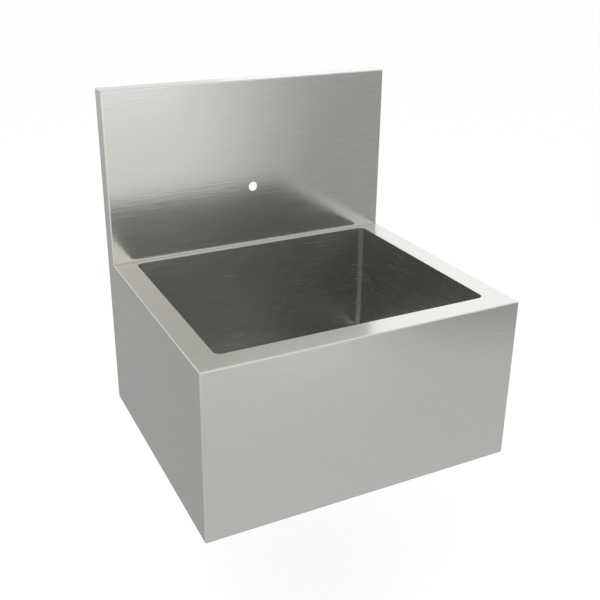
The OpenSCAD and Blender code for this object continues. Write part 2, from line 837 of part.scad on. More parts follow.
apron_shell();
splashback();
bowl();
tap_hole_plate();
splash_stiffener(-stiffener_x);  // splash_stiffener_left
splash_stiffener(stiffener_x);  // splash_stiffener_right
hanger_channel();
wall_bracket();
rear_crossbar();
hanger_screws();
weld_nuts();
wall_pad(-90, bowl_half_d, bowl_x);  // bowl_pad_front
wall_pad(90, bowl_half_d, bowl_x);  // bowl_pad_back
wall_pad(180, bowl_x, bowl_half_d);  // bowl_pad_left
wall_pad(0, bowl_x, bowl_half_d);  // bowl_pad_right
floor_pads();
earth_tab();
earth_bolt();
earth_nut();
earth_washers();
waste_body();
flange_seal();
under_seal();
slip_ring();
locknut();
tail_washer();
tailpiece();
tail_nut();
strainer_basket();
strainer_knob();
strainer_nut();
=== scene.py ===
"""Looks of the wall-hung scrub sink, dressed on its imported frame: brushed sheet, bowl,
waste, fixings and sound pads, with a plain studio and a camera."""

import json
import math

import bmesh
import bpy
from bpy.props import FloatProperty, FloatVectorProperty, PointerProperty
from mathutils import Matrix, Vector


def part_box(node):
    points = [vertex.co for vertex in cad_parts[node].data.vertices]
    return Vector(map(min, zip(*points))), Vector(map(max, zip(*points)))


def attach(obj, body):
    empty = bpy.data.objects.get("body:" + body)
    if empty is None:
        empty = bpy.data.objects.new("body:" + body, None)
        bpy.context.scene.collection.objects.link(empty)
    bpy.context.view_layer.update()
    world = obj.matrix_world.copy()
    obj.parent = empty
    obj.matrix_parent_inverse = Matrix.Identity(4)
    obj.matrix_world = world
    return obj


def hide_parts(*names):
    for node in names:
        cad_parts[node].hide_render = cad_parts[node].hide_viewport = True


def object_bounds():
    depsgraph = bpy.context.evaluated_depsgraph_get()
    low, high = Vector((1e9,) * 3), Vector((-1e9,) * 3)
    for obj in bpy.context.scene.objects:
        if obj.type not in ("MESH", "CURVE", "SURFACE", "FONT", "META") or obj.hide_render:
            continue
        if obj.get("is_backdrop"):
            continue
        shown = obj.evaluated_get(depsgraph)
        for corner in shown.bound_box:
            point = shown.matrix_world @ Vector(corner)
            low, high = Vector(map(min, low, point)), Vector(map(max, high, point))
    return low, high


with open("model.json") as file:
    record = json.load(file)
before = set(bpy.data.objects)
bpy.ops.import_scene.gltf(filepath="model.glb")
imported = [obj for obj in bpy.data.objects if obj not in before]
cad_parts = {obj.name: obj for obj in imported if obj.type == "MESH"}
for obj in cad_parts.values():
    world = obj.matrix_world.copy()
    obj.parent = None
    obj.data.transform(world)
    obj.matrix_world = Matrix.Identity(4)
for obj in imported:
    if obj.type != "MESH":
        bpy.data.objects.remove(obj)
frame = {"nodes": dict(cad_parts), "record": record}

bl_info = {
    "name": "Scrub sink",
    "version": (1, 0, 0),
    "blender": (4, 5, 0),
    "location": "3D View > Sidebar > Scrub sink",
    "description": "Builds the finished pieces of a wall-hung scrub sink and its studio",
    "category": "Object",
}


def corners(box):
    """Lowest and highest corner of a box as plain lists."""
    return [list(map(float, corner)) for corner in box]


def middle(node):
    """The middle of a CAD piece's box."""
    low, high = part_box(node)
    return (low + high) / 2


CAD_BOX = corners(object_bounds())
SHELL_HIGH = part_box("apron_shell")[1]
BOWL_LOW, BOWL_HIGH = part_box("bowl")
WASTE_Y = middle("waste_body").y
DECK_Z = SHELL_HIGH.z

REBUILT = ("apron_shell", "splashback", "bowl")
MERGE = 0.00001  # Points closer than this are one point
SHARP = math.radians(35)  # Bends steeper than this keep a sharp edge
FLAT = math.radians(0.5)  # Faces that bend less than this are one face
WHITE = (1.0, 1.0, 1.0, 1.0)
UP = (0, 0, 1)


# Sizes and colours

def length(name, description, default):
    """A distance that the panel shows."""
    return FloatProperty(name=name, description=description, default=default,
                         subtype="DISTANCE", unit="LENGTH", precision=6)


def number(name, description, default):
    """A plain number that the panel shows."""
    return FloatProperty(name=name, description=description, default=default,
                         subtype="FACTOR", min=0.0)


def colour(name, description, default):
    """A colour that the panel shows."""
    return FloatVectorProperty(name=name, description=description, default=default,
                               size=3, min=0.0, max=1.0, subtype="COLOR")


class SinkColours(bpy.types.PropertyGroup):
    satin: colour("Satin sheet", "Brushed apron and splashback", (0.632, 0.626, 0.592))
    # Darker than the satin sheet, though it is the same steel: painted shade for the inside of
    # the bowl
    bowl: colour("Bowl", "Brushed inside of the bowl", (0.489, 0.485, 0.460))
    mill: colour("Mill sheet", "Unpolished hidden sheet", (0.52, 0.525, 0.53))
    galvanised: colour("Galvanised", "Zinc-dipped wall bracket", (0.50, 0.52, 0.54))
    zinc: colour("Zinc plate", "Screws and weld nuts", (0.66, 0.66, 0.63))
    pad: colour("Sound pad", "Pads glued to the bowl", (0.045, 0.045, 0.048))
    brass: colour("Brass", "Bolt, nut and washers of the earth tab", (0.74, 0.56, 0.26))
    waste: colour("Waste", "Turned and polished waste", (0.66, 0.66, 0.645))
    rubber: colour("Seals", "Rubber rings of the waste", (0.022, 0.022, 0.022))
    plastic: colour("Plastic", "Moulded nut and rings", (0.78, 0.775, 0.74))
    chrome: colour("Chrome", "Tailpiece, its nut and the strainer's knob", (0.80, 0.81, 0.82))


class GrainSizes(bpy.types.PropertyGroup):
    streak_run: length("Streak length", "Length of the coarse brush streaks", 0.090)
    streak_width: length("Streak width", "Width of the coarse brush streaks", 0.0035)
    hair_run: length("Hairline length", "Length of the fine brush lines", 0.030)
    hair_width: length("Hairline width", "Width of the fine brush lines", 0.0007)
    roughness: number("Roughness", "Mean roughness of the satin sheet", 0.14)
    pull: number("Pull", "How far the brushing draws out a reflection across itself", 0.55)
    haze: number("Haze", "Roughness of the coarser lines, which blur a reflection", 0.40)
    haze_share: number("Haze share", "Share of the surface that the coarser lines take", 0.33)
    bow: number("Bow", "Slope by which upright faces lean back in a reflection", 0.015)
    smear_rise: length("Smear rise", "Height of the sheet's long, flat waves", 0.0004)
    streak_depth: length("Streak depth", "Depth of the streaks on flat sheet", 0.00013)
    hair_depth: length("Hairline depth", "Depth of the hairlines on flat sheet", 0.00001)
    bowl_streak_depth: length("Bowl streaks", "Depth of the streaks in the bowl", 0.00002)
    bowl_hair_depth: length("Bowl hairlines", "Depth of the hairlines in the bowl", 0.000003)


class StudioSizes(bpy.types.PropertyGroup):
    floor_z: length("Floor height", "Height of the floor, with the deck at working height", -0.70)
    floor_tone: number("Floor tone", "Tone of the floor in the light of the lamps", 0.5)
    floor_glow: number("Floor glow", "Light that the floor gives to make it white", 0.68)
    front_card: number("Front card", "Tone of the card on the floor in front", 0.73)
    right_card: number("Right card", "Tone of the standing card at the front right", 0.38)
    left_card: number("Left card", "Tone of the card behind on the left", 0.46)
    back_card: number("Back card", "Tone at the top of the standing card behind", 0.6)
    top_card: number("Top card", "Tone of the high card in front, over the soft box", 0.50)
    back_box: number("Back box", "What the soft box behind adds to white", 0.30)
    front_box: number("Front box", "What the soft box in front adds to white", 0.42)
    key_box: number("Key box", "What the lamp overhead gives to matt pieces", 1.6)
    ambient: number("Ambient", "Brightness of the room on matt pieces", 0.62)


class DetailSizes(bpy.types.PropertyGroup):
    shell: length("Shell sheet", "Thickness of the apron and splashback sheet", 0.0012)
    ease: length("Eased edge", "Rounding of the cut edges of the sheet", 0.0003)
    wall_flange: length("Wall flange", "Width of the sides' flanges at the wall", 0.025)
    brim: length("Brim", "Width of the stiffeners' brims", 0.0114)
    sheet: length("Bowl sheet", "Thickness of the bowl's sheet", 0.0015)
    depth: length("Bowl depth", "From the deck to the edge of the bowl's floor", 0.285)
    fall: length("Floor fall", "Fall of the bowl's floor to the waste", 0.012)
    cove: length("Cove", "Radius of the bowl's corners and coves", 0.015)
    flange: length("Bowl flange", "Width of the bowl's flange under the deck", 0.010)
    crease: number("Crease", "Softness of the creases in the bowl's floor", 0.05)
    seat: length("Seat", "Diameter of the seat pressed for the waste", 0.116)
    seat_edge: length("Seat edge", "Rounding of the upper edge of the seat", 0.0020)
    seat_foot: length("Seat foot", "Rounding at the foot of the seat's wall", 0.0012)
    hole: length("Waste hole", "Diameter of the waste hole in the bowl", 0.090)
    spot: length("Spot weld", "Radius of the tint around a spot weld", 0.0055)
    spot_rise: length("Spot rise", "Height that a spot weld's shape is scaled to", 0.0007)
    spot_pitch: length("Spot pitch", "Distance between spot welds", 0.034)
    bead: length("Weld bead", "Radius of the weld beads", 0.0010)
    ripple: length("Ripple", "Distance between the ripples of a weld bead", 0.0016)
    stitch: length("Stitch", "Length of each weld bead around the bowl's flange", 0.030)
    stitch_gap: length("Stitch gap", "Distance between those beads", 0.055)


GROUPS = {"sink_colours": SinkColours, "sink_grain": GrainSizes, "sink_details": DetailSizes,
          "sink_studio": StudioSizes}


# Node trees

class Value:
    """One output in a node tree, so that sums on it read as sums."""

    def __init__(self, tree, socket):
        self.tree = tree
        self.socket = socket

    def __add__(self, other):
        return self.tree.math("ADD", self, other)

    def __radd__(self, other):
        return self.tree.math("ADD", other, self)

    def __sub__(self, other):
        return self.tree.math("SUBTRACT", self, other)

    def __rsub__(self, other):
        return self.tree.math("SUBTRACT", other, self)

    def __mul__(self, other):
        return self.tree.math("MULTIPLY", self, other)

    def __rmul__(self, other):
        return self.tree.math("MULTIPLY", other, self)

    def __truediv__(self, other):
        return self.tree.math("DIVIDE", self, other)

    def __gt__(self, other):
        return self.tree.math("GREATER_THAN", self, other)

    def __abs__(self):
        return self.tree.math("ABSOLUTE", self)

    def beside(self, output):
        """Another output of the same node."""
        return Value(self.tree, self.socket.node.outputs[output])


class Tree:
    """A node tree in the making."""

    family = "ShaderNode"

    def node(self, kind, settings=None, values=None, output=0):
        """Adds a node, sets its settings and then its sockets, and gives one output."""
        made = self.tree.nodes.new(kind if "Node" in kind else self.family + kind)
        for key, setting in (settings or {}).items():
            setattr(made, key, setting)
        for key, value in (values or {}).items():
            if isinstance(value, Value):
                self.tree.links.new(value.socket, made.inputs[key])
            else:
                made.inputs[key].default_value = value
        return Value(self, made.outputs[output]) if made.outputs else None

    def math(self, operation, *numbers):
        """A sum on one, two or three numbers."""
        return self.node("ShaderNodeMath", {"operation": operation}, dict(enumerate(numbers)))

    def least(self, first, second):
        """The lower of two numbers."""
        return self.math("MINIMUM", first, second)

    def clamp(self, value):
        """A value held between 0 and 1."""
        return self.least(self.math("MAXIMUM", value, 0.0), 1.0)

    def axes(self, vector):
        """The three numbers of a vector."""
        split = self.node("ShaderNodeSeparateXYZ", values={0: vector})
        return [split.beside(i) for i in range(3)]


class Shade(Tree):
    """A material in the making, or the world."""

    def __init__(self, name, kind="materials"):
        self.owner = getattr(bpy.data, kind).new(name)
        self.owner.use_nodes = True
        self.tree = self.owner.node_tree
        self.tree.nodes.clear()

    def place(self):
        """Where the shaded point is on its piece, in metres."""
        return self.node("TexCoord", output="Object")

    def facing(self):
        """The way the shaded face looks."""
        return self.node("TexCoord", output="Normal")

    def scaled(self, vector, scale):
        """A vector with each of its numbers scaled on its own."""
        return self.node("VectorMath", {"operation": "MULTIPLY"}, {0: vector, 1: scale})

    def from_axis(self, point, keep):
        """Distance from a line through a point, with 1 in keep for each direction across it."""
        centred = self.node("VectorMath", {"operation": "SUBTRACT"}, {0: self.place(), 1: point})
        return self.node("VectorMath", {"operation": "LENGTH"}, {0: self.scaled(centred, keep)},
                         output="Value")

    def blend(self, factor, first, second):
        """Mixes two colours."""
        return self.node("Mix", {"data_type": "RGBA"}, {0: factor, 6: first, 7: second}, output=2)

    def blend_vectors(self, factor, first, second):
        """Mixes two vectors."""
        return self.node("Mix", {"data_type": "VECTOR"}, {0: factor, 4: first, 5: second},
                         output=1)

    def noise(self, vector, scale=1.0, detail=2.0, roughness=0.5, distortion=0.0):
        """Cloudy noise from 0 to 1, a half on average."""
        return self.node("TexNoise", values={
            "Vector": vector, "Scale": scale, "Detail": detail, "Roughness": roughness,
            "Distortion": distortion})

    def rings(self, radius, scale, detail):
        """Noise that varies only with the distance from an axis, as turning leaves it."""
        return self.node("TexNoise", {"noise_dimensions": "1D"},
                         {"W": radius, "Scale": scale, "Detail": detail})

    def ramp(self, factor, low, high):
        """Runs smoothly from 0 at low to 1 at high."""
        return self.node("MapRange", {"interpolation_type": "SMOOTHSTEP"},
                         {"Value": factor, "From Min": low, "From Max": high})

    def bump(self, height, depth, normal=None):
        """A relief of a given depth, laid over another where one is given."""
        values = {"Strength": 1.0, "Distance": depth, "Height": height}
        if normal is not None:
            values["Normal"] = normal
        return self.node("Bump", values=values)

    def tint(self, rgb, factor):
        """A plain colour made lighter or darker by a factor that varies."""
        return self.node("VectorMath", {"operation": "SCALE"}, {0: rgb, "Scale": factor})

    def finish(self, base, roughness, normal, metallic=1.0, **more):
        """Ends the material with one principled shader, and gives the material."""
        return self.close(self.node("BsdfPrincipled", values={
            "Base Color": base, "Roughness": roughness, "Normal": normal, "Metallic": metallic,
            **more}))

    def close(self, shader):
        """Ends the material with a shader, and gives the material."""
        self.node("OutputMaterial", values={"Surface": shader})
        return self.owner


class Growth(Tree):
    """A geometry tree in the making, with a named input for each of its sizes."""

    family = "GeometryNode"

    def __init__(self, name, sizes):
        self.tree = bpy.data.node_groups.new(name, "GeometryNodeTree")
        self.sizes = sizes
        sockets = self.tree.interface
        sockets.new_socket("Geometry", in_out="INPUT", socket_type="NodeSocketGeometry")
        for key, size in sizes.items():
            kind = "NodeSocketInt" if isinstance(size, int) else "NodeSocketFloat"
            sockets.new_socket(key, in_out="INPUT", socket_type=kind)
        sockets.new_socket("Geometry", in_out="OUTPUT", socket_type="NodeSocketGeometry")
        self.host = self.node("NodeGroupInput")
        self.size = {key: self.host.beside(key) for key in sizes}

    def vector(self, x, y, z):
        """A vector of three numbers."""
        return self.node("ShaderNodeCombineXYZ", values={0: x, 1: y, 2: z})

    def attribute(self, name):
        """A vector that the host mesh holds at each of its points."""
        return self.node("InputNamedAttribute", {"data_type": "FLOAT_VECTOR"}, {"Name": name})

    def at_host(self, value, index):
        """A value of the host mesh at one of its points."""
        return self.node("SampleIndex", {"data_type": "FLOAT_VECTOR"},
                         {"Geometry": self.host, "Value": value, "Index": index})

    def on_host(self, shape, scale=(1.0, 1.0, 1.0)):
        """A shape on each point of the host mesh, with its Z along the point's facing."""
        turn = self.node("FunctionNodeAlignRotationToVector", {"axis": "Z"},
                         {"Vector": self.attribute("facing")})
        return self.node("InstanceOnPoints", values={
            "Points": self.host, "Instance": shape, "Rotation": turn, "Scale": scale})

    def swept(self, curve, radius, corners, scale):
        """A closed rod along a curve, thicker or thinner by a scale that varies."""
        profile = self.node("CurvePrimitiveCircle", {"mode": "RADIUS"},
                            {"Resolution": corners, "Radius": radius})
        return self.node("CurveToMesh", values={
            "Curve": curve, "Profile Curve": profile, "Scale": scale, "Fill Caps": True})

    def heated(self, geometry, heat):
        """Geometry marked with how hot the weld made it, for its heat tints."""
        return self.node("StoreNamedAttribute", {"data_type": "FLOAT", "domain": "POINT"},
                         {"Geometry": geometry, "Name": "weld_heat", "Value": heat})

    def close(self, geometry, slot):
        """Ends the tree with plain, smooth geometry that has the finish of a slot."""
        plain = self.node("RealizeInstances", values={0: geometry})
        smooth = self.node("SetShadeSmooth", values={0: plain})
        done = self.node("SetMaterial", values={0: smooth, "Material": finish_of(slot)})
        self.node("NodeGroupOutput", values={0: done})


# Finishes

SIDE_ON = 0.7  # A face looks along an axis when its normal has this much of it


def sway(noise, amount):
    """A noise's share in a value: it adds about as much as it takes away."""
    return (noise - 0.5) * amount


def rgba(rgb, green=1.0, blue=1.0):
    """A colour for a socket, made warmer by taking away green and blue."""
    return (rgb[0], rgb[1] * green, rgb[2] * blue, 1.0)


def sheet_grain(shade, run, width):
    """Coordinates stretched along the brushing: front to back on the sides, else across."""
    place = shade.place()
    on_side = abs(shade.axes(shade.facing())[0]) > SIDE_ON
    across = shade.scaled(place, (1 / run, 1 / width, 1 / width))
    along = shade.scaled(place, (1 / width, 1 / run, 1 / width))
    return shade.blend_vectors(on_side, across, along)


def brushed_sheet(name, rgb, grain, roughness, swing, streak_depth, hair_depth):
    """Sheet brushed with an abrasive belt: long soft streaks, hairlines and faint smears. Some
    lines are coarser than the rest and put a haze around each reflection, and swing is how far
    the streaks vary the share of those lines."""
    shade = Shade(name)
    streaks = shade.noise(sheet_grain(shade, grain.streak_run, grain.streak_width),
                          detail=3.0, roughness=0.55, distortion=0.3)
    hairs = shade.noise(sheet_grain(shade, grain.hair_run, grain.hair_width))
    smears = shade.noise(shade.place(), scale=5.0)
    tone = 1.0 + sway(streaks, 0.02) + sway(hairs, 0.02) + sway(smears, 0.04)
    vary = sway(streaks, 0.10) + sway(smears, 0.06) + sway(hairs, 0.08)
    height = shade.axes(shade.place())[2]
    waves = shade.bump(smears * grain.smear_rise - height * grain.bow, 1.0)
    belt = shade.bump(streaks, streak_depth, waves)
    both = {"Base Color": shade.tint(rgb, tone), "Metallic": 1.0, "Anisotropic": grain.pull,
            "Anisotropic Rotation": 0.25, "Normal": shade.bump(hairs, hair_depth, belt)}
    smooth, coarse = (shade.node("BsdfPrincipled", values={**both, "Roughness": mean + vary})
                      for mean in (roughness, grain.haze))
    share = grain.haze_share + sway(streaks, swing)
    return shade.close(shade.node("MixShader", values={0: share, 1: smooth, 2: coarse}))


def satin_steel(colours, grain):
    """The apron's sheet, with the plainest grain."""
    return brushed_sheet("satin_steel", colours.satin, grain, grain.roughness, swing=0.02,
                         streak_depth=grain.streak_depth, hair_depth=grain.hair_depth)


def splash_steel(colours, grain):
    """The splashback's sheet, on which the grain stands out most."""
    return brushed_sheet("splash_steel", colours.satin, grain, grain.roughness, swing=0.14,
                         streak_depth=grain.streak_depth, hair_depth=grain.hair_depth)


def bowl_steel(colours, grain):
    """The bowl's sheet, duller than the rest and with shallow grain. Its darker colour is painted
    shade for the inside of the bowl.
    """
    return brushed_sheet("bowl_steel", colours.bowl, grain, grain.roughness + 0.11, swing=0.18,
                         streak_depth=grain.bowl_streak_depth,
                         hair_depth=grain.bowl_hair_depth)


def mill_steel(colours, grain):
    """Cold-rolled sheet as it comes, with faint rolling lines and handling marks."""
    shade = Shade("mill_steel")
    lines = shade.noise(sheet_grain(shade, run=0.3, width=0.002))
    marks = shade.noise(shade.place(), scale=22.0, detail=4.0, roughness=0.6)
    tone = 0.96 + sway(lines, 0.06) + sway(marks, 0.16)
    return shade.finish(shade.tint(colours.mill, tone), 0.36 + sway(marks, 0.22),
                        shade.bump(marks, 0.00008))


def bracket_steel(colours, grain):
    """Hot-dipped zinc: flat crystals of several tones, about a centimetre across."""
    shade = Shade("bracket_steel")
    place = shade.place()
    crystals = shade.node("TexVoronoi", {"voronoi_dimensions": "3D", "feature": "F1"},
                          {"Vector": place, "Scale": 95.0, "Randomness": 1.0}, output="Color")
    shine = shade.axes(crystals)[0]
    frost = shade.noise(place, scale=260.0, detail=3.0)
    tone = 0.84 + shine * 0.30 + sway(frost, 0.10)
    return shade.finish(shade.tint(colours.galvanised, tone), 0.34 + shine * 0.18,
                        shade.bump(frost, 0.00005))


def zinc_steel(colours, grain):
    """Zinc plate with warm clouds."""
    shade = Shade("zinc_steel")
    cloud = shade.noise(shade.place(), scale=240.0, detail=3.0)
    warm = shade.blend(shade.ramp(cloud, 0.35, 0.65), rgba(colours.zinc),
                       rgba(colours.zinc, green=0.97, blue=0.88))
    return shade.finish(warm, 0.24 + cloud * 0.12, shade.bump(cloud, 0.00003))


def sound_pad(colours, grain):
    """Bitumen felt: matt and pitted, pressed in a lattice of shallow grooves."""
    shade = Shade("sound_pad")
    place = shade.place()
    x, y, z = shade.axes(place)
    normal_x, _, normal_z = shade.axes(shade.facing())
    across = x + (y - x) * (abs(normal_x) > SIDE_ON)
    up = z + (y - z) * (abs(normal_z) > SIDE_ON)
    pits = shade.noise(place, scale=420.0, detail=4.0, roughness=0.65)
    patches = shade.noise(place, scale=16.0, detail=3.0)
    pitch, groove = 0.014, 0.28
    step = 2 * math.pi / pitch
    rise, fall = (shade.ramp(abs(shade.math("SINE", way * step)), 0.0, groove)
                  for way in (across + up, across - up))
    relief = rise * fall * 0.6 + pits * 0.4
    tone = 0.72 + patches * 0.5 + sway(pits, 0.5)
    return shade.finish(shade.tint(colours.pad, tone), 0.66 + pits * 0.3,
                        shade.bump(relief, 0.0006), metallic=0.0)


def brass(colours, grain):
    """Turned brass, with rings about the earth bolt's axis."""
    shade = Shade("brass")
    rings = shade.rings(shade.from_axis(middle("earth_bolt"), (0.0, 1.0, 1.0)), 5200.0, 1.0)
    tarnish = shade.noise(shade.place(), scale=190.0, detail=4.0, roughness=0.6)
    tone = 0.86 + (tarnish - 0.35) * 0.45
    return shade.finish(shade.tint(colours.brass, tone), 0.22 + tarnish * 0.25,
                        shade.bump(rings, 0.00002))


def waste_steel(colours, grain):
    """Turned and polished, with fine rings about the waste's axis and a little scale."""
    shade = Shade("waste_steel")
    radius = shade.from_axis((0.0, WASTE_Y, 0.0), (1.0, 1.0, 0.0))
    rings = shade.rings(radius, 2600.0, 2.0)
    marks = shade.noise(shade.place(), scale=70.0, detail=4.0, roughness=0.6)
    tone = 0.95 + sway(rings, 0.08) + sway(marks, 0.14)
    rough = 0.15 + (marks - 0.35) * 0.22 + sway(rings, 0.06)
    return shade.finish(shade.tint(colours.waste, tone), rough, shade.bump(rings, 0.000012))


def seal_rubber(colours, grain):
    """Black rubber with a grey bloom."""
    shade = Shade("seal_rubber")
    skin = shade.noise(shade.place(), scale=900.0)
    bloom = shade.noise(shade.place(), scale=60.0, detail=3.0)
    return shade.finish(shade.tint(colours.rubber, 0.8 + bloom * 0.6), 0.55 + bloom * 0.25,
                        shade.bump(skin, 0.00004), metallic=0.0)


def white_plastic(colours, grain):
    """Moulded plastic with a faintly sparked surface and soft yellowing."""
    shade = Shade("white_plastic")
    spark = shade.noise(shade.place(), scale=1400.0)
    age = shade.noise(shade.place(), scale=30.0, detail=3.0)
    base = shade.blend(shade.ramp(age, 0.4, 0.75), rgba(colours.plastic),
                       rgba(colours.plastic, green=0.985, blue=0.93))
    return shade.finish(base, 0.40 + spark * 0.14, shade.bump(spark, 0.00003), metallic=0.0,
                        IOR=1.5)


def chrome(colours, grain):
    """Bright plate with faint water marks and a slight pull of the polishing mop."""
    shade = Shade("chrome")
    marks = shade.noise(shade.place(), scale=46.0, detail=5.0, roughness=0.62)
    mop = shade.noise(shade.scaled(shade.place(), (900.0, 900.0, 60.0)))
    return shade.finish(shade.tint(colours.chrome, 0.97 + sway(marks, 0.1)),
                        0.07 + shade.ramp(marks, 0.5, 0.75) * 0.13, shade.bump(mop, 0.000006))


def weld_steel(colours, grain):
    """Weld metal, dark at the middle, with straw and blue heat tints around it."""
    shade = Shade("weld_steel")
    heat = shade.node("Attribute", {"attribute_name": "weld_heat"}, output="Fac")
    crust = shade.noise(shade.place(), scale=900.0, detail=3.0)
    warmth = heat + sway(crust, 0.12)
    base = rgba(colours.mill)
    for low, high, tint in ((0.02, 0.22, (0.50, 0.41, 0.26)), (0.24, 0.42, (0.20, 0.22, 0.30)),
                            (0.46, 0.62, (0.36, 0.355, 0.35))):
        base = shade.blend(shade.ramp(warmth, low, high), base, rgba(tint))
    return shade.finish(base, 0.34 + crust * 0.16, shade.bump(crust, 0.00005))


FINISHES = {maker.__name__: maker for maker in (
    satin_steel, splash_steel, bowl_steel, mill_steel, bracket_steel, zinc_steel, sound_pad,
    brass, waste_steel, seal_rubber, white_plastic, chrome, weld_steel)}


def finish_of(slot):
    """The material of a slot or finish, made when it is first asked for."""
    found = bpy.data.materials.get(slot + "_look")
    if found is None:
        scene = bpy.context.scene
        found = FINISHES[slot](scene.sink_colours, scene.sink_grain)
        found.name = slot + "_look"
    return found


# Pieces

def put_piece(name, mesh, slot, body="sink", replaces=(), finish=None):
    """Adds a mesh as a piece that rides on a body. Its finish is its slot's, unless it has one
    of its own."""
    mesh.name = name
    mesh.materials.clear()
    mesh.materials.append(finish_of(finish or slot))
    made = bpy.data.objects.new(name, mesh)
    bpy.context.scene.collection.objects.link(made)
    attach(made, body)
    if replaces:
        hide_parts(*replaces)


def dress(nodes):
    """Gives CAD pieces whose shape is right the finish of their own slot."""
    slots = {part["node"]: part["material_slot"] for part in frame["record"]["subparts"]}
    for node in nodes:
        mesh = frame["nodes"][node].data
        mesh.materials.clear()
        mesh.materials.append(finish_of(slots[node]))


def settled(name, mesh, prepare):
    """The plain mesh that an object's modifiers make of a mesh."""
    holder = bpy.data.objects.new(name, mesh)
    bpy.context.scene.collection.objects.link(holder)
    prepare(holder)
    graph = bpy.context.evaluated_depsgraph_get()
    made = bpy.data.meshes.new_from_object(holder.evaluated_get(graph))
    holder.modifiers.clear()
    bpy.data.objects.remove(holder)
    bpy.data.meshes.remove(mesh)
    return made


def smoothed(name, mesh):
    """Smooth across bends and sharp at edges, with flat faces kept flat."""
    mesh.shade_smooth()
    mesh.set_sharp_from_angle(angle=SHARP)

    def prepare(holder):
        weigh = holder.modifiers.new("normals", "WEIGHTED_NORMAL")
        weigh.keep_sharp = True
        weigh.weight = 100  # The largest faces alone set the normals

    return settled(name, mesh, prepare)


def grown(name, growth, host, wall=0.0):
    """What a geometry tree makes on a host mesh. A wall is the thickness that it gets, away
    from its front."""
    def prepare(holder):
        modifier = holder.modifiers.new("growth", "NODES")
        modifier.node_group = growth.tree
        for item in growth.tree.interface.items_tree:
            if item.in_out == "INPUT" and item.name in growth.sizes:
                modifier[item.identifier] = growth.sizes[item.name]
        if wall:
            solid = holder.modifiers.new("wall", "SOLIDIFY")
            solid.thickness = wall
            solid.offset = -1.0
            solid.use_even_offset = True

    return settled(name, host, prepare)


def host_mesh(name, points, edges=(), **vectors):
    """Points for a geometry tree, with a vector of each kind at each point."""
    mesh = bpy.data.meshes.new(name)
    mesh.from_pydata(points, edges, [])
    for key, values in vectors.items():
        layer = mesh.attributes.new(key, "FLOAT_VECTOR", "POINT")
        for item, value in zip(layer.data, values):
            item.vector = value
    return mesh


def eased_sheet(node, ease):
    """A copy of a folded sheet with its cut edges eased, as a deburring wheel leaves them."""
    work = bmesh.new()
    work.from_mesh(frame["nodes"][node].data)
    bmesh.ops.remove_doubles(work, verts=work.verts, dist=MERGE)
    bmesh.ops.dissolve_limit(work, angle_limit=FLAT, verts=work.verts, edges=work.edges)
    work.verts.index_update()
    mesh = bpy.data.meshes.new(node + "_merged")
    mesh.from_pydata([vert.co.copy() for vert in work.verts], [],
                     [[vert.index for vert in face.verts] for face in work.faces])
    work.free()

    def prepare(holder):
        bevel = holder.modifiers.new("ease", "BEVEL")
        bevel.width = ease
        bevel.segments = 2
        bevel.limit_method = "ANGLE"
        bevel.angle_limit = SHARP

    return smoothed(node + "_eased", settled(node + "_merged", mesh, prepare))


class MakeSheets(bpy.types.Operator):
    """Builds the apron and splashback with eased edges"""
    bl_idname = "scrub_sink.sheets"
    bl_label = "Apron and splashback"

    def execute(self, context):
        ease = context.scene.sink_details.ease
        put_piece("apron", eased_sheet("apron_shell", ease), "satin_steel",
                  replaces=["apron_shell"])
        put_piece("splash", eased_sheet("splashback", ease), "satin_steel",
                  replaces=["splashback"], finish="splash_steel")
        return {"FINISHED"}


def quarter(steps):
    """The angles of a rounding, from 0 to a right angle."""
    return [math.pi / 2 * i / steps for i in range(steps + 1)]


def bowl_rows(details):
    """Rows from the flange under the deck, down the wall, through the cove and in over the
    floor to the waste hole. Each has (distance from the corner's centre, distance from the
    waste's axis, height) and (share of the way to a circle, share of the floor's fall)."""
    corner, floor = details.cove, DECK_Z - details.depth
    seat_z = BOWL_LOW.z + details.sheet
    edge_r, foot_r = details.seat_edge, details.seat_foot
    seat_r, hole_r = details.seat / 2, details.hole / 2
    wall_top, wall_foot, wall_steps = BOWL_HIGH.z, floor + corner, 5
    rows = [(corner + details.flange, seat_r, wall_top, 0, 0)]
    for i in range(wall_steps):
        rows.append((corner, seat_r, wall_top + (wall_foot - wall_top) * i / wall_steps, 0, 0))
    for turn in quarter(8):
        rows.append((corner * math.cos(turn), seat_r, floor + corner * (1 - math.sin(turn)),
                     0, 0))
    for share in (0.02, 0.06, 0.13, 0.23, 0.36, 0.50, 0.64, 0.77, 0.88, 0.96):
        rows.append((0, seat_r + edge_r, floor, share, 1))
    for turn in quarter(4):
        rows.append((0, seat_r + edge_r * (1 - math.sin(turn)),
                     floor - edge_r * (1 - math.cos(turn)), 1, 1))
    for turn in quarter(4):
        rows.append((0, seat_r - foot_r * (1 - math.cos(turn)),
                     seat_z + foot_r * (1 - math.sin(turn)), 1, 0))
    rows.append((0, hole_r, seat_z, 1, 0))
    return rows


